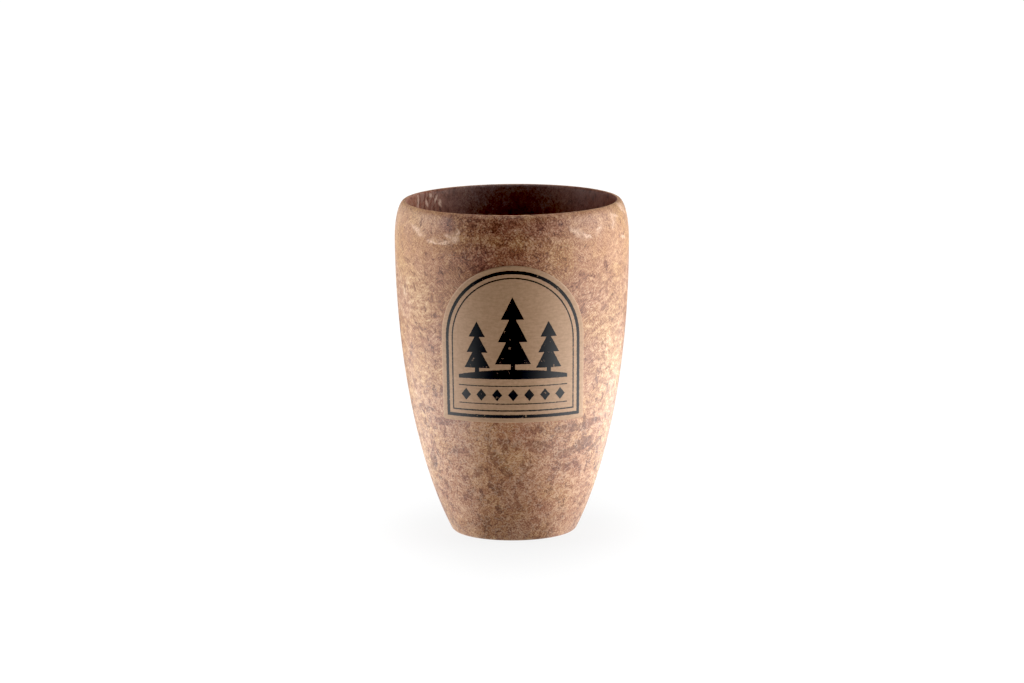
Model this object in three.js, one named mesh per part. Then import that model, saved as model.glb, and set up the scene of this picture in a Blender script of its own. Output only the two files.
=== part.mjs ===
// Camping cup: a tumbler moulded in one piece, with an arched paper label stuck to its front.
// Units are millimetres and +Z is up. The origin is on the table, under the middle of the foot,
// and the label faces -Y.

import * as THREE from "three";

// Outside of the cup
const CUP_HEIGHT = 114;
const WIDEST_RADIUS = 39.75; // at the ring where the wall ends and the shoulder begins
const SHOULDER_RISE = 13; // from the widest ring up to the top of the rim
const BASE_RADIUS = 20.9; // where the wall's curve would meet the table
const WALL_SWEEP = 43; // sideways half-axis of the ellipse that the wall follows
const FOOT_EDGE = 1.3; // height of the rounding between the wall and the foot

// Inside and underside of the cup
const WALL = 4.25; // at the widest ring
const LIP_ROUNDING = 0.75; // radius of the rim's inner edge
const FLOOR_HEIGHT = 4.5; // of the inside floor, above the table
const FLOOR_CORNER = 9; // height of the soft corner between the floor and the inner wall
const FOOT_RING = 5; // width of the ring that the cup stands on
const RECESS_DEPTH = 0.8; // of the hollow under the floor, inside that ring
const RECESS_SLOPE = 1.2; // width of the slope at the recess's edge

// Label: paper on a film of adhesive
const LABEL_WIDTH = 50.8; // its top is half a circle of this width
const LABEL_HEIGHT = 54;
const LABEL_CORNER = 1.2; // radius of the two lower corners
const LABEL_DROP = 3.4; // from the widest ring down to the top of the label
const ADHESIVE = 0.12;
const PAPER = 0.15;
const SEAT = 0.1; // clearance under each layer

// Steps that the round shapes are cut into
const TURN_STEPS = 72; // round the cup
const WALL_STEPS = 13; // up the outside and down the inside
const SHOULDER_STEPS = 7;
const FLOOR_STEPS = 5;
const EDGE_STEPS = 3; // each small rounding
const LABEL_COLUMNS = 16;
const SIDE_STEPS = 6;
const ARCH_STEPS = 9;
const ARCH_END = THREE.MathUtils.degToRad(87); // just short of the tip, where a row has no width

const COMPOSITE_COLOUR = 0x9c7458;
const KRAFT_COLOUR = 0xb0946c;
const ADHESIVE_COLOUR = 0xcbb78f;

// The rings that the cup's curves meet at
const widestHeight = CUP_HEIGHT - SHOULDER_RISE;
const insideRadius = WIDEST_RADIUS - WALL;
const rimRadius = insideRadius + LIP_ROUNDING;

// Both walls are arcs of ellipses about one centre, level with the widest ring. The outer one
// passes through the base radius at the table, and the inner one is a wall smaller each way.
const wallCentre = WIDEST_RADIUS - WALL_SWEEP;
const baseCosine = (BASE_RADIUS - wallCentre) / WALL_SWEEP;
const wallDepth = widestHeight / Math.sqrt(1 - baseCosine ** 2);
const outerWall = { sweep: WALL_SWEEP, depth: wallDepth };
const innerWall = { sweep: WALL_SWEEP - WALL, depth: wallDepth - WALL };

function wallAngle(wall, height) {
  return Math.asin((height - widestHeight) / wall.depth);
}

function wallRadius(wall, height) {
  return wallCentre + wall.sweep * Math.cos(wallAngle(wall, height));
}

// The wall's arc, from a height up to the widest ring
function wallArc(wall, height) {
  return new THREE.EllipseCurve(
    wallCentre, widestHeight, wall.sweep, wall.depth, wallAngle(wall, height), 0,
  ).getPoints(WALL_STEPS);
}

// A soft corner from a flat level to the wall, which it meets a rise above that level
function cornerCurve(wall, level, rise) {
  const angle = wallAngle(wall, level + rise);
  const lean = (-wall.sweep * Math.sin(angle)) / (wall.depth * Math.cos(angle));
  const onWall = new THREE.Vector2(wallRadius(wall, level + rise), level + rise);
  const sharp = new THREE.Vector2(onWall.x - lean * rise, level);
  const onFlat = new THREE.Vector2(sharp.x - sharp.distanceTo(onWall), level);
  return new THREE.QuadraticBezierCurve(onFlat, sharp, onWall);
}

// One line through several stretches of points, without the points that two stretches share
function joinStretches(...stretches) {
  const samePoint = 1e-6;
  const line = [];
  for (const point of stretches.flat()) {
    const last = line.at(-1);
    if (!last || last.distanceTo(point) > samePoint) line.push(point);
  }
  return line;
}

// The cup, turned about its axis: under the foot, up the outside, over the rim and down inside
function cupGeometry() {
  const foot = cornerCurve(outerWall, 0, FOOT_EDGE);
  const floor = cornerCurve(innerWall, FLOOR_HEIGHT, FLOOR_CORNER);
  const ringInside = foot.v0.x - FOOT_RING;
  const underside = [
    new THREE.Vector2(0, RECESS_DEPTH),
    new THREE.Vector2(ringInside - RECESS_SLOPE, RECESS_DEPTH),
    new THREE.Vector2(ringInside, 0),
  ];
  const shoulder = new THREE.EllipseCurve(
    rimRadius, widestHeight, WIDEST_RADIUS - rimRadius, SHOULDER_RISE, 0, Math.PI / 2,
  );
  const lip = new THREE.EllipseCurve(
    rimRadius, CUP_HEIGHT - LIP_ROUNDING, LIP_ROUNDING, LIP_ROUNDING, Math.PI / 2, Math.PI,
  );
  const outline = joinStretches(
    underside,
    foot.getPoints(EDGE_STEPS),
    wallArc(outerWall, FOOT_EDGE),
    shoulder.getPoints(SHOULDER_STEPS),
    lip.getPoints(EDGE_STEPS),
    wallArc(innerWall, FLOOR_HEIGHT + FLOOR_CORNER).reverse(),
    floor.getPoints(FLOOR_STEPS).reverse(),
    [new THREE.Vector2(0, FLOOR_HEIGHT)],
  );
  return new THREE.LatheGeometry(outline, TURN_STEPS).rotateX(Math.PI / 2);
}

// Outside radius of the cup, on the wall or on the shoulder
function outsideRadius(height) {
  if (height <= widestHeight) return wallRadius(outerWall, height);
  const climb = (height - widestHeight) / SHOULDER_RISE;
  return rimRadius + (WIDEST_RADIUS - rimRadius) * Math.sqrt(1 - climb ** 2);
}

// The label's outline as rows from its lower edge up: two round corners, straight sides, an arch
function labelRows() {
  const archRadius = LABEL_WIDTH / 2;
  const sideTop = LABEL_HEIGHT - archRadius;
  const rows = [];
  for (let step = 0; step < EDGE_STEPS; step++) {
    const turn = (Math.PI / 2) * (step / EDGE_STEPS);
    const rise = LABEL_CORNER * (1 - Math.cos(turn));
    rows.push({ rise, half: archRadius - LABEL_CORNER * (1 - Math.sin(turn)) });
  }
  for (let step = 0; step < SIDE_STEPS; step++) {
    const rise = THREE.MathUtils.lerp(LABEL_CORNER, sideTop, step / SIDE_STEPS);
    rows.push({ rise, half: archRadius });
  }
  for (let step = 0; step <= ARCH_STEPS; step++) {
    const turn = ARCH_END * (step / ARCH_STEPS);
    rows.push({ rise: sideTop + archRadius * Math.sin(turn), half: archRadius * Math.cos(turn) });
  }
  return rows;
}

// One layer of the label, wrapped round the front of the cup at a clearance from its wall
function labelLayer(clearance, thickness) {
  const rows = labelRows();
  const labelBottom = widestHeight - LABEL_DROP - LABEL_HEIGHT;
  const positions = [];
  for (const lift of [clearance, clearance + thickness]) {
    for (const row of rows) {
      const height = labelBottom + row.rise;
      const radius = outsideRadius(height);
      for (let column = 0; column <= LABEL_COLUMNS; column++) {
        const along = row.half * ((2 * column) / LABEL_COLUMNS - 1);
        const angle = along / radius;
        const reach = radius + lift;
        positions.push(reach * Math.sin(angle), -reach * Math.cos(angle), height);
      }
    }
  }

  // The back skin's points come first, then the front skin's in the same order
  const width = LABEL_COLUMNS + 1;
  const front = rows.length * width;
  const faces = [];
  const addQuad = (a, b, c, d) => faces.push(a, b, c, a, c, d);
  for (let row = 0; row < rows.length - 1; row++) {
    for (let column = 0; column < LABEL_COLUMNS; column++) {
      const low = row * width + column;
      const high = low + width;
      addQuad(front + low, front + low + 1, front + high + 1, front + high);
      addQuad(low, high, high + 1, low + 1);
    }
  }

  // The edge runs once round the border: along the bottom, up, back along the top, and down
  const border = [];
  const lastRow = rows.length - 1;
  for (let column = 0; column < LABEL_COLUMNS; column++) border.push(column);
  for (let row = 0; row < lastRow; row++) border.push(row * width + LABEL_COLUMNS);
  for (let column = LABEL_COLUMNS; column > 0; column--) border.push(lastRow * width + column);
  for (let row = lastRow; row > 0; row--) border.push(row * width);
  border.forEach((here, place) => {
    const next = border[(place + 1) % border.length];
    addQuad(here, next, front + next, front + here);
  });

  const geometry = new THREE.BufferGeometry();
  geometry.setAttribute("position", new THREE.Float32BufferAttribute(positions, 3));
  geometry.setIndex(faces);
  geometry.computeVertexNormals();
  return geometry;
}

function addPiece(group, name, geometry, color, roughness) {
  const material = new THREE.MeshStandardMaterial({ color, roughness, metalness: 0 });
  const mesh = new THREE.Mesh(geometry, material);
  mesh.name = name;
  group.add(mesh);
}

const cup = new THREE.Group();
addPiece(cup, "cup_body", cupGeometry(), COMPOSITE_COLOUR, 0.5);
addPiece(cup, "label_adhesive", labelLayer(SEAT, ADHESIVE), ADHESIVE_COLOUR, 0.35);
addPiece(cup, "label_paper", labelLayer(SEAT + ADHESIVE + SEAT, PAPER), KRAFT_COLOUR, 0.65);

export default cup;
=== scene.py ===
# Camping cup: a tumbler moulded from wood-fibre composite, with an arched kraft label on its front.
# The cup stands on a white sweep, between two side softboxes and under a small one overhead.
# Sizes are in millimetres.

import math

import bpy
from mathutils import Matrix, Vector


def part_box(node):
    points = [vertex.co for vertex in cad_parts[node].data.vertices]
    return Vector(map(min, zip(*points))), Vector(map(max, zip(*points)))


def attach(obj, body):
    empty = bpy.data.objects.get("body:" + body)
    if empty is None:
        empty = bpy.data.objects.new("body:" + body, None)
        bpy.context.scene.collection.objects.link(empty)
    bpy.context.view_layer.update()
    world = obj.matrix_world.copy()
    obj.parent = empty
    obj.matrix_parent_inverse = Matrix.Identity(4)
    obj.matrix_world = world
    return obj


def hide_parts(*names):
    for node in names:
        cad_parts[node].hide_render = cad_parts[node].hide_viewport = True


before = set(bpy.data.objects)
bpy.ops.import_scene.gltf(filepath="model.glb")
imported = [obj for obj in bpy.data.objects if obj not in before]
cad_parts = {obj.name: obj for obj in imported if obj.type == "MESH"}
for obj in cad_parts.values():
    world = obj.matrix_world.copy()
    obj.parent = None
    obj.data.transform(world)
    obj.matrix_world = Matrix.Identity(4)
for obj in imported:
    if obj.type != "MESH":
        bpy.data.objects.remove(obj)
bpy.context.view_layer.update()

MM = 0.001
BODY = "root"


# Sizes

cup_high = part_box("cup_body")[1]
label_low, label_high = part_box("label_paper")

# Cup: its height and widest radius come from the frame, and the rest shapes the section between them
CUP_HEIGHT = cup_high.z / MM
WIDEST_RADIUS = cup_high.x / MM
SHOULDER_RISE = 13.0  # from the widest ring up to the top of the rim
BASE_RADIUS = 20.9  # where the wall's curve would meet the table
WALL_SWEEP = 43.0  # sideways half-axis of the ellipse that the wall follows
FOOT_EDGE = 1.3  # height of the rounding between the wall and the foot
WALL = 4.25  # at the widest ring
LIP_ROUNDING = 0.75  # radius of the rim's inner edge
FLOOR_HEIGHT = 4.5  # of the inside floor, above the table
FLOOR_CORNER = 9.0  # height of the soft corner between the floor and the inner wall
FOOT_RING = 5.0  # width of the ring that the cup stands on
RECESS_DEPTH = 0.8  # of the hollow inside that ring
RECESS_SLOPE = 1.2  # width of the slope at the recess's edge

# Label: each layer's lift is measured out from the wall
LABEL_WIDTH = 50.8  # its top is half a circle of this width
LABEL_BOTTOM = label_low.z / MM
LABEL_HEIGHT = (label_high.z - label_low.z) / MM
LABEL_CORNER = 1.2  # radius of the two lower corners
FILM_BACK = -0.05  # just inside the wall, so that no light shows under the film
FILM_FRONT = 0.32
FILM_EDGE = 0.10  # the front's lift where it is pressed down along the outline
PAPER_BACK = 0.14
PAPER_FRONT = 0.47
PAPER_EDGE = 0.22
EDGE_BAND = 0.35  # width of the stretch that is pressed down

# Steps that the round shapes are cut into
TURN_STEPS = 192  # round the cup
FLAT_STEPS = 8  # across the recess, and down the inside of the shoulder
SLOPE_STEPS = 8
RING_STEPS = 4
FOOT_STEPS = 10
WALL_STEPS = 72
SHOULDER_STEPS = 28
LIP_STEPS = 10
INSIDE_STEPS = 56
FLOOR_CORNER_STEPS = 24
FLOOR_STEPS = 6
LABEL_COLUMNS = 44
LABEL_CORNER_STEPS = 6
LABEL_SIDE_STEPS = 40
LABEL_ARCH_STEPS = 48
ARCH_END = math.radians(88.5)  # just short of the tip, where a row has no width

ARCH_RADIUS = LABEL_WIDTH / 2
SIDE_TOP = LABEL_HEIGHT - ARCH_RADIUS

WIDEST_HEIGHT = CUP_HEIGHT - SHOULDER_RISE
INSIDE_RADIUS = WIDEST_RADIUS - WALL
RIM_RADIUS = INSIDE_RADIUS + LIP_ROUNDING
WALL_CENTRE = WIDEST_RADIUS - WALL_SWEEP
BASE_COSINE = (BASE_RADIUS - WALL_CENTRE) / WALL_SWEEP
WALL_DEPTH = WIDEST_HEIGHT / math.sqrt(1 - BASE_COSINE ** 2)
OUTER_WALL = (WALL_SWEEP, WALL_DEPTH)
INNER_WALL = (WALL_SWEEP - WALL, WALL_DEPTH - WALL)


# Meshes

def new_piece(name, vertices, faces, finish):
    mesh = bpy.data.meshes.new(name)
    mesh.from_pydata([Vector(v) * MM for v in vertices], [], faces)
    mesh.validate()
    mesh.shade_smooth()
    mesh.materials.append(finish)
    piece = bpy.data.objects.new(name, mesh)
    bpy.context.scene.collection.objects.link(piece)
    return piece


def arc(centre, half_axes, start, end, steps):
    """Points of an ellipse's arc, each (radius, height)."""
    turns = [start + (end - start) * step / steps for step in range(steps + 1)]
    return [
        (centre[0] + half_axes[0] * math.cos(turn), centre[1] + half_axes[1] * math.sin(turn))
        for turn in turns
    ]


def eased(share):
    """A share from 0 to 1 that starts and ends gently."""
    return 0.5 - 0.5 * math.cos(math.pi * share)


def straight(start, end, steps):
    shares = [step / steps for step in range(steps + 1)]
    return [tuple(a + (b - a) * share for a, b in zip(start, end)) for share in shares]


def wall_angle(wall, height):
    return math.asin((height - WIDEST_HEIGHT) / wall[1])


def wall_radius(wall, height):
    return WALL_CENTRE + wall[0] * math.cos(wall_angle(wall, height))


def wall_arc(wall, height, steps):
    return arc((WALL_CENTRE, WIDEST_HEIGHT), wall, wall_angle(wall, height), 0, steps)


def corner(wall, level, rise, steps):
    """A soft corner from a flat level to the wall, which it meets a rise above that level."""
    angle = wall_angle(wall, level + rise)
    lean = -wall[0] * math.sin(angle) / (wall[1] * math.cos(angle))
    on_wall = Vector((wall_radius(wall, level + rise), level + rise))
    sharp = Vector((on_wall.x - lean * rise, level))
    on_flat = Vector((sharp.x - (on_wall - sharp).length, level))
    points = []
    for step in range(steps + 1):
        share = step / steps
        points.append(tuple(
            on_flat * (1 - share) ** 2 + sharp * 2 * share * (1 - share) + on_wall * share ** 2
        ))
    return points


def cup_outline():
    """Half of the cup's section: under the foot, up the outside, over the rim and down inside."""
    foot = corner(OUTER_WALL, 0, FOOT_EDGE, FOOT_STEPS)
    floor = corner(INNER_WALL, FLOOR_HEIGHT, FLOOR_CORNER, FLOOR_CORNER_STEPS)
    ring_inside = foot[0][0] - FOOT_RING
    recess_edge = ring_inside - RECESS_SLOPE
    slope = [
        (recess_edge + RECESS_SLOPE * share, RECESS_DEPTH * (1 - eased(share)))
        for share in (step / SLOPE_STEPS for step in range(SLOPE_STEPS + 1))
    ]
    shoulder_axes = (WIDEST_RADIUS - RIM_RADIUS, SHOULDER_RISE)
    lip_axes = (LIP_ROUNDING, LIP_ROUNDING)
    lip_height = CUP_HEIGHT - LIP_ROUNDING
    quarter = math.pi / 2
    stretches = [
        straight((0, RECESS_DEPTH), (recess_edge, RECESS_DEPTH), FLAT_STEPS),
        slope,
        straight((ring_inside, 0), foot[0], RING_STEPS),
        foot,
        wall_arc(OUTER_WALL, FOOT_EDGE, WALL_STEPS),
        arc((RIM_RADIUS, WIDEST_HEIGHT), shoulder_axes, 0, quarter, SHOULDER_STEPS),
        arc((RIM_RADIUS, lip_height), lip_axes, quarter, 2 * quarter, LIP_STEPS),
        straight((INSIDE_RADIUS, lip_height), (INSIDE_RADIUS, WIDEST_HEIGHT), FLAT_STEPS),
        wall_arc(INNER_WALL, FLOOR_HEIGHT + FLOOR_CORNER, INSIDE_STEPS)[::-1],
        floor[::-1],
        straight(floor[0], (0, FLOOR_HEIGHT), FLOOR_STEPS),
    ]
    same_point = 1e-4
    outline = []
    for point in sum(stretches, []):
        if not outline or math.dist(outline[-1], point) > same_point:
            outline.append(point)
    return outline


def cup_piece(finish):
    """The cup's section, turned about its axis."""
    outline = cup_outline()
    vertices = [(0, 0, outline[0][1])]
    for radius, height in outline[1:-1]:
        for step in range(TURN_STEPS):
            turn = 2 * math.pi * step / TURN_STEPS
            vertices.append((radius * math.cos(turn), radius * math.sin(turn), height))
    vertices.append((0, 0, outline[-1][1]))
    rings = len(outline) - 2
    last = len(vertices) - 1
    last_ring = 1 + (rings - 1) * TURN_STEPS
    faces = []
    for step in range(TURN_STEPS):
        beside = (step + 1) % TURN_STEPS
        faces.append((0, 1 + beside, 1 + step))
        for ring in range(rings - 1):
            here = 1 + ring * TURN_STEPS
            beyond = here + TURN_STEPS
            faces.append((here + step, here + beside, beyond + beside, beyond + step))
        faces.append((last_ring + step, last_ring + beside, last))
    return new_piece("cup", vertices, faces, finish)


def label_rows():
    """The label's outline from its lower edge up, as (rise, half-width) of each row."""
    rows = []
    for step in range(LABEL_CORNER_STEPS):
        turn = math.pi / 2 * step / LABEL_CORNER_STEPS
        rise = LABEL_CORNER * (1 - math.cos(turn))
        rows.append((rise, ARCH_RADIUS - LABEL_CORNER * (1 - math.sin(turn))))
    for step in range(LABEL_SIDE_STEPS):
        rise = LABEL_CORNER + (SIDE_TOP - LABEL_CORNER) * step / LABEL_SIDE_STEPS
        rows.append((rise, ARCH_RADIUS))
    for step in range(LABEL_ARCH_STEPS + 1):
        turn = ARCH_END * step / LABEL_ARCH_STEPS
        rows.append((SIDE_TOP + ARCH_RADIUS * math.sin(turn), ARCH_RADIUS * math.cos(turn)))
    return rows


def edge_distance(along, rise):
    """How far a point of the flat label lies inside its outline."""
    arch = ARCH_RADIUS - math.hypot(along, max(rise - SIDE_TOP, 0))
    return max(min(arch, rise), 0)


def label_layer(name, back, front, pressed, finish):
    """A layer of the label, wrapped round the wall, with its front pressed down along the edge."""
    rows = label_rows()
    vertices = []
    for is_front in (False, True):
        for rise, half in rows:
            height = LABEL_BOTTOM + rise
            radius = wall_radius(OUTER_WALL, min(height, WIDEST_HEIGHT))
            for column in range(LABEL_COLUMNS + 1):
                along = half * (2 * eased(column / LABEL_COLUMNS) - 1)
                lift = back
                if is_front:
                    inward = eased(min(edge_distance(along, rise) / EDGE_BAND, 1))
                    lift = pressed + (front - pressed) * inward
                turn = along / radius
                reach = radius + lift
                vertices.append((reach * math.sin(turn), -reach * math.cos(turn), height))
    width = LABEL_COLUMNS + 1
    skin = len(rows) * width
    faces = []
    for row in range(len(rows) - 1):
        for column in range(LABEL_COLUMNS):
            low = row * width + column
            high = low + width
            faces.append((skin + low, skin + low + 1, skin + high + 1, skin + high))
            faces.append((low, high, high + 1, low + 1))
    last = len(rows) - 1
    border = list(range(LABEL_COLUMNS))
    border += [row * width + LABEL_COLUMNS for row in range(last)]
    border += [last * width + column for column in range(LABEL_COLUMNS, 0, -1)]
    border += [row * width for row in range(last, 0, -1)]
    for here, beyond in zip(border, border[1:] + border[:1]):
        faces.append((here, beyond, skin + beyond, skin + here))
    return new_piece(name, vertices, faces, finish)


# Shader nodes

class Channel:
    """One output of a shader node, which works in Python expressions."""

    def __init__(self, finish, socket):
        self.finish = finish
        self.socket = socket

    def __add__(self, other):
        return self.finish.maths("ADD", self, other)

    def __radd__(self, other):
        return self.finish.maths("ADD", other, self)

    def __sub__(self, other):
        return self.finish.maths("SUBTRACT", self, other)

    def __rsub__(self, other):
        return self.finish.maths("SUBTRACT", other, self)

    def __mul__(self, other):
        return self.finish.maths("MULTIPLY", self, other)

    def __rmul__(self, other):
        return self.finish.maths("MULTIPLY", other, self)

    def __truediv__(self, other):
        return self.finish.maths("DIVIDE", self, other)

    def __rtruediv__(self, other):
        return self.finish.maths("DIVIDE", other, self)

    def __abs__(self):
        return self.finish.maths("ABSOLUTE", self)


class Finish:
    """The shader nodes of a material or of the world, added one by one."""

    def __init__(self, owner):
        owner.use_nodes = True
        self.owner = owner
        self.tree = owner.node_tree
        self.tree.nodes.clear()

    def add(self, kind, settings=None, sockets=None, out=0):
        """Adds a node, sets it up, fills or links its sockets, and gives one of its outputs."""
        node = self.tree.nodes.new(kind)
        for name, value in (settings or {}).items():
            if name == "stops":
                self.set_stops(node.color_ramp.elements, value)
            else:
                setattr(node, name, value)
        for name, value in (sockets or {}).items():
            if isinstance(value, Channel):
                self.tree.links.new(value.socket, node.inputs[name])
            else:
                node.inputs[name].default_value = value
        return Channel(self, node.outputs[out]) if node.outputs else None

    @staticmethod
    def set_stops(elements, stops):
        while len(elements) < len(stops):
            elements.new(1.0)
        for element, (place, shade) in zip(elements, stops):
            element.position = place
            element.color = shade

    def maths(self, operation, *values):
        return self.add("ShaderNodeMath", {"operation": operation}, dict(enumerate(values)))

    def vector(self, operation, a, b=None, scale=None):
        sockets = {0: a}
        if b is not None:
            sockets[1] = b
        if scale is not None:
            sockets["Scale"] = scale
        return self.add("ShaderNodeVectorMath", {"operation": operation}, sockets)

    def place(self):
        """The point being shaded, in millimetres."""
        point = self.add("ShaderNodeTexCoord", out="Object")
        return self.vector("SCALE", point, scale=1 / MM)

    def split(self, vector):
        return [self.add("ShaderNodeSeparateXYZ", None, {0: vector}, out) for out in range(3)]

    def noise(self, place, size, detail=3.0, roughness=0.55, out=0):
        """Cloudy noise with features of about that size."""
        sockets = {"Vector": place, "Scale": 1 / size, "Detail": detail, "Roughness": roughness}
        return self.add("ShaderNodeTexNoise", None, sockets, out)

    def stirred(self, place, size, amount, detail=2.0):
        """The place, pushed about by noise."""
        push = self.noise(place, size, detail, out=1)
        push = self.vector("SUBTRACT", push, (0.5, 0.5, 0.5))
        push = self.vector("SCALE", push, scale=2 * amount)
        return self.vector("ADD", place, push)

    def ramp(self, value, start, end, low=0.0, high=1.0):
        """A smooth step of value from start to end, between low and high."""
        settings = {"interpolation_type": "SMOOTHSTEP"}
        sockets = {0: value, 1: start, 2: end, 3: low, 4: high}
        return self.add("ShaderNodeMapRange", settings, sockets)

    def mix(self, share, under, over, how="MIX"):
        """One colour over another, by a share; the node's colours are its sockets 6 and 7."""
        settings = {"data_type": "RGBA", "blend_type": how}
        return self.add("ShaderNodeMix", settings, {0: share, 6: under, 7: over}, out=2)

    def surface(self, **sockets):
        """Closes the material with one shader; underscores in the names stand for spaces."""
        named = {name.replace("_", " "): value for name, value in sockets.items()}
        shader = self.add("ShaderNodeBsdfPrincipled", None, named)
        self.add("ShaderNodeOutputMaterial", None, {"Surface": shader})
        return self.owner


def new_finish(name):
    return Finish(bpy.data.materials.new(name))


def colour(red, green, blue):
    """A colour given in screen values from 0 to 255, as the shader's linear values."""
    def linear(value):
        share = value / 255
        return share / 12.92 if share <= 0.04045 else ((share + 0.055) / 1.055) ** 2.4
    return (linear(red), linear(green), linear(blue), 1.0)


def wrapped(finish, place):
    """Distance round the cup from the middle of its front, and height, both in millimetres."""
    x, y, z = finish.split(place)
    turn = finish.maths("ARCTAN2", x, 0 - y)
    radius = finish.maths("SQRT", x * x + y * y)
    return turn * radius, z


def spread(finish, place):
    """The cup's surface spread out flat: distance round the cup and height, as one vector."""
    around, height = wrapped(finish, place)
    return finish.add("ShaderNodeCombineXYZ", None, {0: around, 1: height})


# Wood-fibre composite

FRONT_RADIUS = 36.0  # of the wall, for the lean of its fibres

# Zones of the moulding, each from where it starts to where it is full: heights, or distances sideways
LOW_ZONE = (62, 36)
LOW_ZONE_TILT = 0.4  # how much higher it reaches for each millimetre to the left
UPPER_ZONE = (70, 90)
HIGH_ZONE = (84, 106)
NEAR_RIM_ZONE = (86, 100)
LIP_ZONE = (112.9, 113.7)
FLANK_ZONE = (8, 30)
EDGE_ZONE = (24, 36)
INNER_LEFT_ZONE = (-22, -30)

# Colours: the ground's by its tone, then those laid over it
GROUND_TONES = [
    (0.05, colour(78, 44, 31)),
    (0.34, colour(125, 81, 57)),
    (0.54, colour(156, 108, 77)),
    (0.76, colour(180, 140, 106)),
    (1.00, colour(205, 174, 144)),
]
VEIN_COLOUR = colour(202, 170, 142)
# Pale fibre and painted highlight round the shoulder
WISP_AND_HIGHLIGHT_COLOUR = colour(214, 180, 154)
CHIP_COLOUR = colour(190, 150, 122)
LIP_COLOUR = colour(190, 158, 140)
# Painted shade: the darker colour laid over the inner wall
INNER_PAINTED_SHADE_COLOUR = colour(138, 94, 68)
INNER_FLECK_COLOUR = colour(178, 144, 128)
INNER_STREAK_COLOUR = colour(222, 188, 168)

# Tints, which multiply the colour under them
HONEY_CAST = (1.02, 1.00, 0.88, 1)
ROSY_CAST = (1.00, 0.97, 1.00, 1)
GOLDEN_TINT = (0.93, 0.89, 0.78, 1)
DULL_TINT = (1.00, 0.96, 1.16, 1)
# Painted sheen: the greyish tint of a cloud on the right flank
ASHEN_PAINTED_SHEEN_TINT = (1.02, 1.10, 1.17, 1)
# Painted sheen: the next three make the flanks, the upper edges and the sides of the shoulder paler and
# greyer
FLANK_PAINTED_SHEEN = (1.00, 1.05, 1.08, 1)
UPPER_EDGE_PAINTED_SHEEN = (1.17, 1.34, 1.50, 1)
SHOULDER_SIDE_PAINTED_SHEEN = (1.13, 1.12, 1.03, 1)
BROWN_TINT = (0.50, 0.40, 0.34, 1)
RUSTY_TINT = (0.55, 0.41, 0.36, 1)
RED_TINT = (0.80, 0.68, 0.65, 1)
# Painted shade on the inner wall near its rim, for its middle and for its sides
INNER_MIDDLE_PAINTED_SHADE = (0.54, 0.67, 1.05, 1)
INNER_SIDE_PAINTED_SHADE = (0.67, 0.50, 0.58, 1)
INNER_FLECK_TINT = (0.55, 0.53, 0.52, 1)

# Further painted light and shade on the inner wall, each with the zone sideways where it sets in: a little
# painted light at the far left, painted shade on the right
INNER_ZONE_PAINTED_LIGHT_AND_SHADE = [
    ((-22, -31), (1.03, 0.96, 0.91, 1)),
    ((-31, -33), (1.36, 1.54, 1.60, 1)),
    ((12, 28), (0.59, 0.52, 0.50, 1)),
]

# Marks: way round the cup from its front, height, half-length, half-width, lean from level in degrees
DARK_PATCHES = [
    (19.0, 40.2, 5.4, 1.5, 0),
    (28.6, 40.9, 5.6, 1.7, 8),
    (18.4, 31.6, 5.6, 1.6, 10),
    (26.4, 33.9, 6.0, 2.0, 14),
    (32.6, 32.6, 6.0, 0.8, 26),
    (19.3, 26.6, 5.8, 1.4, 5),
    (13.1, 23.4, 2.4, 0.9, 44),
    (8.3, 34.6, 4.3, 2.3, -10),
    (-3.2, 35.6, 2.8, 1.2, -60),
    (-6.0, 30.6, 2.8, 1.9, -65),
    (-2.3, 25.9, 2.6, 1.5, -50),
    (2.0, 22.2, 1.6, 0.9, -50),
    (-5.4, 18.9, 2.0, 1.6, -30),
    (-5.2, 12.2, 2.1, 1.0, -75),
    (-9.5, 6.3, 3.2, 1.3, 85),
    (-11.7, 25.9, 2.4, 1.1, 75),
    (-17.3, 22.8, 1.5, 1.0, 30),
    (-16.1, 17.7, 1.4, 0.9, -40),
    (-25.2, 42.6, 5.2, 1.6, 8),
    (-32.9, 27.1, 4.0, 2.4, 90),
    (-18.3, 32.6, 3.2, 1.0, 5),
    (-34.9, 46.2, 5.5, 0.9, -3),
    (-26.5, 52.8, 1.7, 0.9, 90),
]
DULL_CLOUDS = [
    (-7.0, 110.5, 15.0, 4.0, 0),
    (10.0, 109.5, 13.0, 3.6, 0),
    (-4.0, 99.0, 18.0, 5.6, 0),
    (-22.0, 110.2, 3.6, 3.4, 0),
]
# Painted light: pale clouds on the right flank and low on both sides
PALE_PAINTED_LIGHT_CLOUDS = [
    (42.0, 62.0, 15.0, 20.0, 0),
    (-44.0, 24.0, 12.0, 14.0, 0),
    (44.0, 20.0, 12.0, 12.0, 0),
]
GOLDEN_CLOUDS = [(18.2, 99.4, 5.0, 5.0, 0)]
# Painted sheen: a greyish cloud on the right flank
ASHEN_PAINTED_SHEEN_CLOUDS = [(42.0, 64.0, 15.0, 22.0, 0)]
RED_CLOUDS = [
    (8.2, 12.7, 4.8, 7.5, 0),
    (0.5, 39.5, 9.0, 5.0, 0),
]
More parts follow.
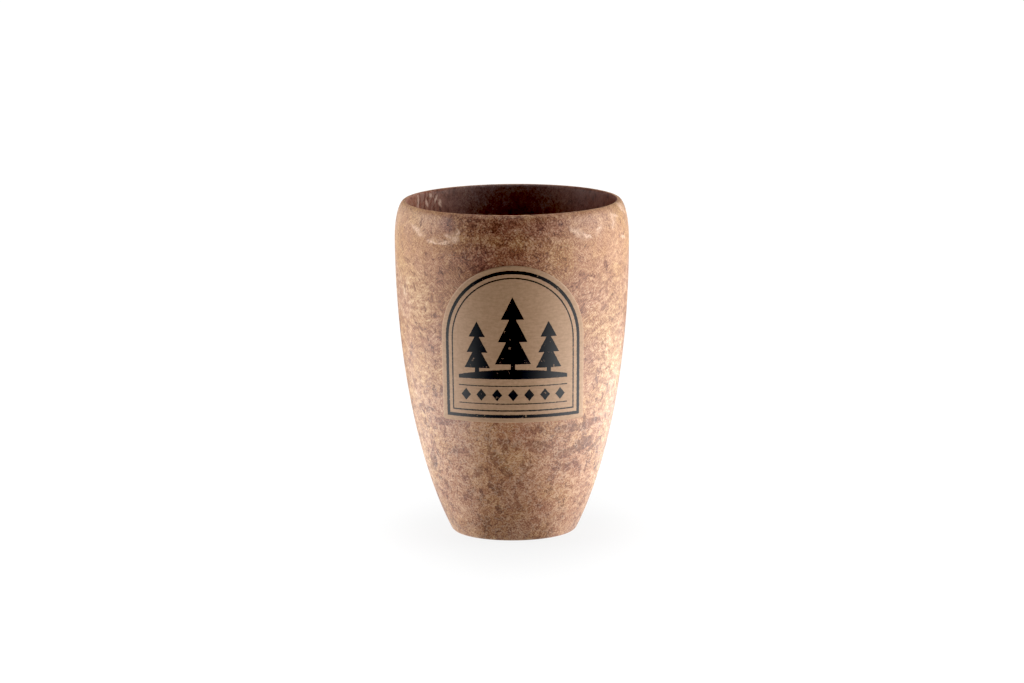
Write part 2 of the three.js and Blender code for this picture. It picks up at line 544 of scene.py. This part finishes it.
# Partly pale fibre, partly painted highlights of the side lights: swirls and streaks round the shoulder
PALE_SWIRLS_AND_HIGHLIGHTS = [
    (-36.7, 107.2, 4.6, 1.7, -20),
    (-26.5, 104.6, 6.0, 1.2, 0),
    (-20.6, 106.4, 2.8, 2.0, 40),
    (24.0, 107.0, 5.0, 1.6, -30),
    (33.0, 107.4, 2.6, 1.4, 40),
    (41.5, 109.4, 3.2, 2.2, -60),
]
PALE_STREAKS_AND_HIGHLIGHTS = [
    (-36.9, 107.2, 3.4, 0.9, -23),
    (-29.0, 104.3, 2.2, 0.5, -8),
    (-24.3, 104.4, 2.8, 0.6, 8),
    (-22.4, 106.9, 1.4, 0.7, -20),
    (-19.7, 105.7, 1.5, 1.1, 20),
    (-18.8, 108.0, 1.4, 0.6, -70),
    (22.4, 107.5, 2.8, 0.8, -37),
    (27.1, 106.0, 2.4, 0.55, -24),
    (32.8, 107.6, 1.3, 0.6, 24),
    (40.7, 109.1, 2.6, 0.7, -83),
    (42.7, 110.9, 2.7, 0.5, -17),
    (49.0, 102.8, 3.0, 0.6, -20),
    (51.0, 112.0, 3.4, 0.9, -26),
]
INNER_STREAKS = [
    (-71.8, 110.8, 3.0, 0.7, 84),
    (-77.4, 110.0, 1.7, 0.6, 62),
    (-79.6, 112.2, 1.3, 0.8, 20),
    (-82.3, 110.6, 1.5, 0.7, 110),
    (-84.3, 109.1, 1.5, 0.6, 70),
]


class Spot:
    """Where the point being shaded lies on the cup, and in what part of the moulding."""

    def __init__(self, finish):
        self.place = finish.place()
        self.x, y, self.height = finish.split(self.place)
        self.radius = finish.maths("SQRT", self.x * self.x + y * y)
        self.stirred = finish.stirred(self.place, 9.0, 2.0)
        self.torn = finish.stirred(self.place, 2.4, 1.2, 3.0)
        self.spread_out = spread(finish, self.torn)
        self.frayed_out = spread(finish, finish.stirred(self.place, 1.8, 0.55, 3.0))
        left = finish.maths("MINIMUM", self.x, 0)
        self.low_down = finish.ramp(self.height + LOW_ZONE_TILT * left, *LOW_ZONE)
        self.high_up = finish.ramp(self.height, *HIGH_ZONE)
        self.flank = finish.ramp(abs(self.x), *FLANK_ZONE)
        self.shoulder_side = self.high_up * self.flank
        self.shoulder_front = self.high_up - self.shoulder_side
        upper = finish.ramp(self.height, *UPPER_ZONE)
        self.upper_side = upper * self.flank
        self.upper_edge_sheen = upper * finish.ramp(abs(self.x), *EDGE_ZONE)
        self.near_rim = finish.ramp(self.height, *NEAR_RIM_ZONE)
        self.lip = finish.ramp(self.height, *LIP_ZONE)


def fibres(finish, place, height, lean, width, rise):
    """Hair-like streaks at a lean from upright in degrees, by their width and rise."""
    twist = math.tan(math.radians(lean)) / FRONT_RADIUS
    turned = finish.add(
        "ShaderNodeVectorRotate", {"rotation_type": "Z_AXIS"}, {"Vector": place, "Angle": height * twist}
    )
    drawn = finish.vector("MULTIPLY", turned, (1 / width, 1 / width, 1 / rise))
    return finish.noise(drawn, 1.0, 2.0, 0.6)


def marks(finish, spread_out, places, edge, full):
    """Soft ovals on the spread-out surface, which fade between two shares of their half-sizes."""
    total = 0.0
    for around, height, half_length, half_width, lean in places:
        oval = finish.add("ShaderNodeMapping", {"vector_type": "TEXTURE"}, {
            "Vector": spread_out,
            "Location": (around, height, 0),
            "Rotation": (0, 0, math.radians(lean)),
            "Scale": (half_length, half_width, 1),
        })
        reach = finish.add("ShaderNodeVectorMath", {"operation": "LENGTH"}, {0: oval}, out=1)
        total = finish.maths("MAXIMUM", finish.ramp(reach, edge, full), total)
    return total


def inner_radius(finish, height):
    """Radius of the cup's inner wall at a height."""
    climb = finish.maths("MINIMUM", height - WIDEST_HEIGHT, 0) / INNER_WALL[1]
    return WALL_CENTRE + INNER_WALL[0] * finish.maths("SQRT", 1 - climb * climb)


def felt(finish, spot):
    """The mat of crossed fibres, which shows all over the moulding."""
    fibre_width, fibre_rise = 0.34, 2.0
    curly = finish.stirred(spot.stirred, 2.6, 0.8, 1.0)
    turn = finish.ramp(finish.noise(spot.place, 7.0, 2.0, 0.5), 0.40, 0.60)
    one_way = fibres(finish, curly, spot.height, 40, fibre_width, fibre_rise)
    other_way = fibres(finish, curly, spot.height, -46, fibre_width, fibre_rise)
    return finish.ramp(turn * one_way + (1 - turn) * other_way, 0.30, 0.70)


def dashes(finish, spot):
    """Broken strokes on the flanks, drawn out round the cup."""
    drawn = finish.vector("MULTIPLY", spot.spread_out, (0.5, 1, 1))
    return finish.ramp(finish.noise(drawn, 1.7, 3.0, 0.6), 0.36, 0.64)


def ground_tone(finish, spot, mat, mottle):
    """How pale the ground is: each layer swings it about the middle, by a strength for each zone."""
    clouds = finish.noise(spot.stirred, 22.0, 3.0, 0.5)
    grit = finish.noise(spot.place, 0.55, 1.0, 0.5)
    curl = finish.noise(spot.torn, 2.4, 4.0, 0.65)
    cloudy = 0.45 - 0.2 * spot.shoulder_side
    patchy = 0.72 - 0.36 * spot.flank * (1 - spot.low_down) - 0.1 * spot.low_down - 0.14 * spot.upper_side
    gritty = 0.5 + 0.5 * spot.low_down + 0.9 * spot.shoulder_front
    hairy = 0.6 - 0.3 * spot.low_down - 0.25 * spot.shoulder_front
    hairy = hairy - 0.15 * spot.flank - 0.08 * spot.upper_side
    curly = 0.25 + spot.high_up * (1.1 - 0.75 * spot.flank)
    dashed = 0.28 * spot.flank * (1 - spot.high_up)
    layers = [
        (clouds, cloudy),
        (mottle, patchy),
        (grit, gritty),
        (mat, hairy),
        (curl, curly),
        (dashes(finish, spot), dashed),
    ]
    tone = 0.52 + 0.05 * spot.low_down + 0.03 * spot.shoulder_front
    for layer, strength in layers:
        tone = tone + strength * (layer - 0.5)
    return tone


def ground_colour(finish, spot, tone):
    """The tan ground, with duller and golden clouds, pale clouds of painted light, a greyish cloud of
    painted sheen, and painted sheen on the flanks, upper edges and shoulder sides.
    """
    dull = marks(finish, spot.spread_out, DULL_CLOUDS, 1.3, 0.3)
    pale = marks(finish, spot.spread_out, PALE_PAINTED_LIGHT_CLOUDS, 1.2, 0.2)
    golden = marks(finish, spot.spread_out, GOLDEN_CLOUDS, 1.3, 0.3)
    ashen_sheen = marks(finish, spot.spread_out, ASHEN_PAINTED_SHEEN_CLOUDS, 1.2, 0.3)
    # The pale clouds are painted light on the flanks
    tone = tone - 0.15 * dull + 0.14 * pale
    ground = finish.add("ShaderNodeValToRGB", {"stops": GROUND_TONES}, {0: tone})
    hue = finish.ramp(finish.noise(spot.stirred, 13.0, 2.0, 0.5), 0.38, 0.62)
    tints = [
        (1.0, finish.mix(hue, HONEY_CAST, ROSY_CAST)),
        (golden, GOLDEN_TINT),
        (0.7 * dull, DULL_TINT),
        # Painted sheen: the flanks, the upper edges and the sides of the shoulder are made paler and greyer
        (spot.flank, FLANK_PAINTED_SHEEN),
        # Painted sheen on the right flank
        (ashen_sheen, ASHEN_PAINTED_SHEEN_TINT),
        (spot.upper_edge_sheen, UPPER_EDGE_PAINTED_SHEEN),
        (spot.shoulder_side, SHOULDER_SIDE_PAINTED_SHEEN),
    ]
    for share, tint in tints:
        ground = finish.mix(share, ground, tint, "MULTIPLY")
    return ground


def with_dark_patches(finish, spot, body):
    """Brown blotches, most of them low down, longer patches there, specks, and two reddish clouds."""
    drawn = finish.vector("MULTIPLY", spot.torn, (1, 1, 0.65))
    blotches = finish.noise(drawn, 2.3, 4.0, 0.6) + 0.06 * spot.low_down
    blotches = finish.ramp(blotches, 0.61, 0.65)
    grain = finish.ramp(finish.noise(spot.torn, 1.1, 3.0, 0.65), 0.34, 0.48)
    patches = marks(finish, spot.frayed_out, DARK_PATCHES, 1.15, 0.85) * (0.8 + 0.2 * grain)
    specks = 0.5 * finish.ramp(finish.noise(spot.place, 1.1, 2.0, 0.6), 0.64, 0.72)
    darkness = finish.maths("MAXIMUM", blotches, patches)
    darkness = finish.maths("MAXIMUM", darkness, specks) * (0.74 + 0.26 * spot.flank)
    rusty = finish.ramp(finish.noise(spot.place, 12.0, 2.0, 0.5), 0.45, 0.60)
    body = finish.mix(darkness, body, finish.mix(rusty, BROWN_TINT, RUSTY_TINT), "MULTIPLY")
    reddened = marks(finish, spot.spread_out, RED_CLOUDS, 1.2, 0.3)
    return finish.mix(0.8 * reddened, body, RED_TINT, "MULTIPLY")


def with_pale_marks(finish, spot, body):
    """Thin pale veins low down; wisps round the shoulder, partly pale fibre and partly painted highlight;
    chips of pale fibre there; and a paler lip.
    """
    veins = finish.ramp(abs(finish.noise(spot.torn, 3.6, 3.0, 0.6) - 0.5), 0.035, 0.005)
    body = finish.mix(0.4 * spot.low_down * veins, body, VEIN_COLOUR)
    wisps = finish.ramp(abs(finish.noise(spot.torn, 1.1, 2.0, 0.6) - 0.5), 0.10, 0.02)
    swirls_and_highlights = marks(finish, spot.spread_out, PALE_SWIRLS_AND_HIGHLIGHTS, 1.2, 0.3) * (0.15 + 0.35 * wisps)
    streaks = marks(finish, spot.spread_out, PALE_STREAKS_AND_HIGHLIGHTS, 1.5, 0.5) * (0.35 + 0.65 * wisps)
    # Painted highlight in part: the pale swirls and streaks round the shoulder
    body = finish.mix(finish.maths("MAXIMUM", swirls_and_highlights, streaks), body, WISP_AND_HIGHLIGHT_COLOUR)
    chips = finish.ramp(finish.noise(spot.place, 0.9, 2.0, 0.6), 0.56, 0.66)
    chips = chips * (spot.high_up - 0.7 * spot.shoulder_side)
    body = finish.mix(0.75 * chips, body, CHIP_COLOUR)
    return finish.mix(0.12 * spot.lip, body, LIP_COLOUR)


def inner_painted_shade(finish, spot):
    """Painted shade on the inner wall below its rim: least at the far left, where painted light lifts it,
    most on the right.
    """
    tint = finish.mix(spot.flank, INNER_MIDDLE_PAINTED_SHADE, INNER_SIDE_PAINTED_SHADE)
    for zone, further_light_and_shade in INNER_ZONE_PAINTED_LIGHT_AND_SHADE:
        tint = finish.mix(finish.ramp(spot.x, *zone), tint, further_light_and_shade, "MULTIPLY")
    return tint


def with_inside(finish, spot, body):
    """The calmer inner wall, darkened by painted shade, with upright flecks and a few pale streaks on the
    left.
    """
    inside = finish.ramp(spot.radius - inner_radius(finish, spot.height), 0.5, 0.2)
    left = finish.ramp(spot.x, *INNER_LEFT_ZONE)
    # Painted shade: the inner wall is darkened, less so on the left
    body = finish.mix(inside * (0.6 - 0.45 * left), body, INNER_PAINTED_SHADE_COLOUR)
    body = finish.mix(inside * spot.near_rim, body, inner_painted_shade(finish, spot), "MULTIPLY")
    drawn = finish.vector("MULTIPLY", spot.stirred, (1, 1, 0.45))
    flecks = finish.noise(drawn, 1.3, 4.0, 0.7)
    pale = 0.45 * finish.ramp(flecks, 0.50, 0.60) * (0.12 + 0.88 * left)
    body = finish.mix(inside * pale, body, INNER_FLECK_COLOUR)
    dark = finish.ramp(flecks, 0.48, 0.38) * (0.25 + 0.75 * spot.flank)
    body = finish.mix(inside * dark, body, INNER_FLECK_TINT, "MULTIPLY")
    streaks = marks(finish, spot.frayed_out, INNER_STREAKS, 1.4, 0.4)
    return finish.mix(0.75 * inside * streaks, body, INNER_STREAK_COLOUR)


def composite_finish():
    """The moulding's finish: satin, with a matt lip and a faint relief of fibres."""
    finish = new_finish("wood_fibre_composite")
    spot = Spot(finish)
    mat = felt(finish, spot)
    mottle = finish.noise(spot.stirred, 5.0, 5.0, 0.62)
    body = ground_colour(finish, spot, ground_tone(finish, spot, mat, mottle))
    body = with_dark_patches(finish, spot, body)
    body = with_pale_marks(finish, spot, body)
    body = with_inside(finish, spot, body)
    roughness = 0.45 + 0.3 * (mottle - 0.5) + 0.4 * spot.lip
    bump = finish.add("ShaderNodeBump", None, {"Strength": 0.25, "Distance": 0.1 * MM, "Height": mat})
    return finish.surface(Base_Color=body, Roughness=roughness, Specular_IOR_Level=0.55, Normal=bump)


# Kraft label

PALE_PAPER = colour(176, 143, 115)
DARK_PAPER = colour(155, 124, 96)
INK = colour(12, 10, 11)
PALE_FILM = colour(206, 182, 146)
DARK_FILM = colour(176, 148, 110)

# The print, measured along from the label's middle line and up from its lower edge
FRAME_LINES = [(2.2, 0.58), (4.2, 0.24)]  # distance in from the outline, half-width
# Fir trees: where along, foot, height, half-width
FIRS = [(0.0, 20.4, 23.0, 6.6), (-12.2, 19.0, 16.0, 4.9), (12.2, 19.0, 16.0, 4.9)]
FIR_TIERS = 3
CROWN_TAPER = 0.5  # share of the half-width that grows from tip to foot
TIER_FLARE = 0.42  # share of the half-width that each tier adds at its lower edge
TRUNK_HALF_WIDTH = 0.75
TRUNK_REACH = 2.4  # above and below the foot
HILL_TOP = 18.6
HILL_FOOT = 15.2
HILL_BEND = 0.006
DIAMOND_PITCH = 5.4
DIAMOND_RISE = 9.7
DIAMOND_SIZE = 1.3
DIAMOND_SLOPES = (0.75, 0.62)  # sideways and upwards: a steeper slope makes it narrower
RULE_RISES = (6.6, 12.8)
RULE_HALF_WIDTH = 0.17
PRINT_HALF_WIDTH = 18.9
NO_INK = -9.0


def printed_frame(finish, along, rise):
    """Lines that follow the label's outline; like each motif, above zero where there is ink."""
    above = finish.maths("MAXIMUM", rise - SIDE_TOP, 0)
    arch = ARCH_RADIUS - finish.maths("SQRT", along * along + above * above)
    inside = finish.maths("MINIMUM", arch, rise)
    lines = [half_width - abs(inside - distance) for distance, half_width in FRAME_LINES]
    return finish.maths("MAXIMUM", *lines)


def printed_firs(finish, along, rise):
    """Fir trees in tiers, each on its trunk."""
    trees = NO_INK
    for middle, foot, height, half_width in FIRS:
        down = (foot + height - rise) / height
        tier = finish.maths("FRACT", FIR_TIERS * down)
        side = abs(along - middle)
        crown = half_width * (CROWN_TAPER * down + TIER_FLARE * tier) - side
        crown = finish.maths("MINIMUM", crown, height * (0.5 - abs(down - 0.5)))
        trunk = finish.maths("MINIMUM", TRUNK_HALF_WIDTH - side, TRUNK_REACH - abs(rise - foot))
        trees = finish.maths("MAXIMUM", trees, finish.maths("MAXIMUM", crown, trunk))
    return trees


def printed_ground(finish, along, rise):
    """A low hill under the trees, and below it a row of diamonds between two thin lines."""
    hill = finish.maths("MINIMUM", HILL_TOP - HILL_BEND * along * along - rise, rise - HILL_FOOT)
    shift = abs(finish.maths("FRACT", along / DIAMOND_PITCH + 0.5) - 0.5) * DIAMOND_PITCH
    sideways, upwards = DIAMOND_SLOPES
    diamonds = DIAMOND_SIZE - sideways * shift - upwards * abs(rise - DIAMOND_RISE)
    rules = [RULE_HALF_WIDTH - abs(rise - rule_rise) for rule_rise in RULE_RISES]
    band = finish.maths("MAXIMUM", diamonds, finish.maths("MAXIMUM", *rules))
    motifs = finish.maths("MAXIMUM", hill, band)
    return finish.maths("MINIMUM", motifs, PRINT_HALF_WIDTH - abs(along))


def kraft_finish():
    """Kraft paper with short level fibres, and a stamped print that is ragged and worn."""
    finish = new_finish("kraft_label")
    place = finish.place()
    along, height = wrapped(finish, place)
    rise = height - LABEL_BOTTOM
    pulp = finish.noise(place, 0.9, 4.0, 0.7)
    streaks = finish.noise(finish.vector("MULTIPLY", place, (1, 1, 4)), 2.2, 3.0, 0.6)
    fibre = finish.ramp(0.5 * pulp + 0.5 * streaks, 0.3, 0.7)
    paper = finish.mix(fibre, DARK_PAPER, PALE_PAPER)
    motifs = finish.maths("MAXIMUM", printed_firs(finish, along, rise), printed_ground(finish, along, rise))
    motifs = finish.maths("MAXIMUM", motifs, printed_frame(finish, along, rise))
    ragged = 0.3 * (finish.noise(place, 0.7, 2.0, 0.6) - 0.5)
    ink = finish.ramp(motifs + ragged, -0.06, 0.06)
    worn = finish.ramp(finish.noise(place, 1.6, 3.0, 0.65), 0.36, 0.30)
    ink = ink * (1 - 0.5 * worn)
    printed = finish.mix(ink, paper, INK)
    return finish.surface(Base_Color=printed, Roughness=0.44 - 0.04 * ink, Specular_IOR_Level=0.34)


def adhesive_finish():
    """A honey-coloured film with faint streaks."""
    finish = new_finish("label_adhesive_film")
    streaks = finish.noise(finish.place(), 0.8, 3.0, 0.6)
    film = finish.mix(streaks, DARK_FILM, PALE_FILM)
    return finish.surface(Base_Color=film, Roughness=0.3)


# The cup and its label

cup = cup_piece(composite_finish())
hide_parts("cup_body")

film = label_layer("label_film", FILM_BACK, FILM_FRONT, FILM_EDGE, adhesive_finish())
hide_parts("label_adhesive")

paper = label_layer("label", PAPER_BACK, PAPER_FRONT, PAPER_EDGE, kraft_finish())
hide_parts("label_paper")

for piece in (cup, film, paper):
    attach(piece, BODY)


# Studio: floor, lights, white surroundings and camera

FLOOR_RADIUS = 4000.0
FLOOR_STEPS_ROUND = 64
FLOOR_GAP = 0.05  # keeps the floor just clear of the foot
SWEEP_GREY = (0.04, 0.04, 0.04, 1)


def sweep_glow(finish):
    """How the table glows: one light for the cup, and a white with a soft shadow for the eye."""
    x, y = finish.split(finish.place())[:2]
    away = finish.maths("SQRT", x * x + y * y)
    # A bright wing on each side of the cup, the right one stronger, and a dim patch before and behind it
    wings = finish.ramp(abs(x / away + 0.06), 0.42, 0.82)
    strong = finish.ramp(away, 25, 150, 1.4, 5.4) * finish.ramp(x, -100, 100, 0.84, 1.03)
    dim = finish.ramp(away, 240, 90, 0.0, 0.6)
    lit = (dim + wings * (strong - dim)) * finish.ramp(away, 460, 200)
    lit = lit * finish.ramp(y / away, 0.5, -0.1, 0.7, 1.0)
    # The far end of the table is white again
    lit = finish.maths("MAXIMUM", lit, finish.ramp(y, 200, 900, 0.0, 1.1))
    shadow_reach = finish.maths("SQRT", x * x + 0.25 * y * y)
    seen = finish.ramp(shadow_reach, 8, 70, 0.86, 1.0)
    sight = finish.add("ShaderNodeLightPath", out="Is Camera Ray")
    return finish.mix(sight, lit, seen)


def sweep_finish():
    finish = new_finish("white_sweep")
    return finish.surface(
        Base_Color=SWEEP_GREY, Roughness=1.0, Emission_Color=sweep_glow(finish), Emission_Strength=1.0
    )


def floor_piece():
    ring = [2 * math.pi * step / FLOOR_STEPS_ROUND for step in range(FLOOR_STEPS_ROUND)]
    vertices = [(FLOOR_RADIUS * math.cos(turn), FLOOR_RADIUS * math.sin(turn), -FLOOR_GAP) for turn in ring]
    return new_piece("floor", vertices, [tuple(range(FLOOR_STEPS_ROUND))], sweep_finish())


# Softboxes, all turned to the middle of the cup: place, width and height, power in watts
SOFTBOXES = {
    "left_softbox": ((-860, 20, 380), (800, 560), 5.7),
    "right_softbox": ((875, -70, 330), (800, 560), 7.6),
    "overhead_softbox": ((0, 0, 900), (320, 320), 2.4),
}
AMBIENT = 0.05  # brightness of the room above
BACK_WALL = 0.8  # brightness of the wall behind the cup
WHITE = 1.1  # what the camera sees of the room


def softbox(name, place, size, power):
    light = bpy.data.lights.new(name, "AREA")
    light.shape = "RECTANGLE"
    light.size = size[0] * MM
    light.size_y = size[1] * MM
    light.energy = power
    lamp = bpy.data.objects.new(name, light)
    lamp.location = Vector(place) * MM
    lamp.rotation_mode = "QUATERNION"
    middle = Vector((0, 0, CUP_HEIGHT / 2))
    lamp.rotation_quaternion = (middle - Vector(place)).to_track_quat("-Z", "Y")
    bpy.context.scene.collection.objects.link(lamp)


def white_surroundings():
    """White to the camera's eye; for the cup, a dim room with a bright wall low down behind it."""
    room = Finish(bpy.data.worlds.new("white_surroundings"))
    y, z = room.split(room.add("ShaderNodeTexCoord", out="Generated"))[1:]
    wall = room.ramp(y, 0.2, 0.6, 0.0, BACK_WALL) * room.ramp(z, 0.55, 0.35)
    strength = wall + room.ramp(z, 0.35, 0.55, 0.0, AMBIENT)
    sight = room.add("ShaderNodeLightPath", out="Is Camera Ray")
    strength = strength * (1 - sight) + WHITE * sight
    background = room.add("ShaderNodeBackground", None, {"Strength": strength})
    room.add("ShaderNodeOutputWorld", None, {"Surface": background})
    bpy.context.scene.world = room.owner


VIEW_DISTANCE = 1668.4  # from the middle of the cup
VIEW_ELEVATION = 10.342  # in degrees
VIEW_ROLL = -0.497  # in degrees
VIEW_AIM = Vector((-0.247, 0.0, 65.011))
SENSOR_WIDTH = 36.0
LENS = 172.0
BLACK_LEVEL = (0.018, 0.017, 0.0155)  # deepens the darks, as the picture's do


def add_camera():
    """The camera, set by the outline of the cup in the picture."""
    rise = math.radians(VIEW_ELEVATION)
    roll = math.radians(VIEW_ROLL)
    spot = Vector((0, 0, CUP_HEIGHT / 2))
    spot += VIEW_DISTANCE * Vector((0, -math.cos(rise), math.sin(rise)))
    ahead = (VIEW_AIM - spot).normalized()
    level = ahead.cross(Vector((0, 0, 1))).normalized()
    upward = level.cross(ahead)
    across = level * math.cos(roll) + upward * math.sin(roll)
    upward = upward * math.cos(roll) - level * math.sin(roll)
    lens = bpy.data.cameras.new("camera")
    lens.sensor_fit = "HORIZONTAL"
    lens.sensor_width = SENSOR_WIDTH
    lens.lens = LENS
    camera = bpy.data.objects.new("camera", lens)
    turn = Matrix((across, upward, -ahead)).transposed().to_4x4()
    camera.matrix_world = Matrix.Translation(spot * MM) @ turn
    bpy.context.scene.collection.objects.link(camera)
    bpy.context.scene.camera = camera


def deepen_darks():
    view = bpy.context.scene.view_settings
    view.view_transform = "Standard"
    view.use_curve_mapping = True
    view.curve_mapping.black_level = BLACK_LEVEL


floor_piece()
for name, (place, size, power) in SOFTBOXES.items():
    softbox(name, place, size, power)
white_surroundings()
add_camera()
deepen_darks()
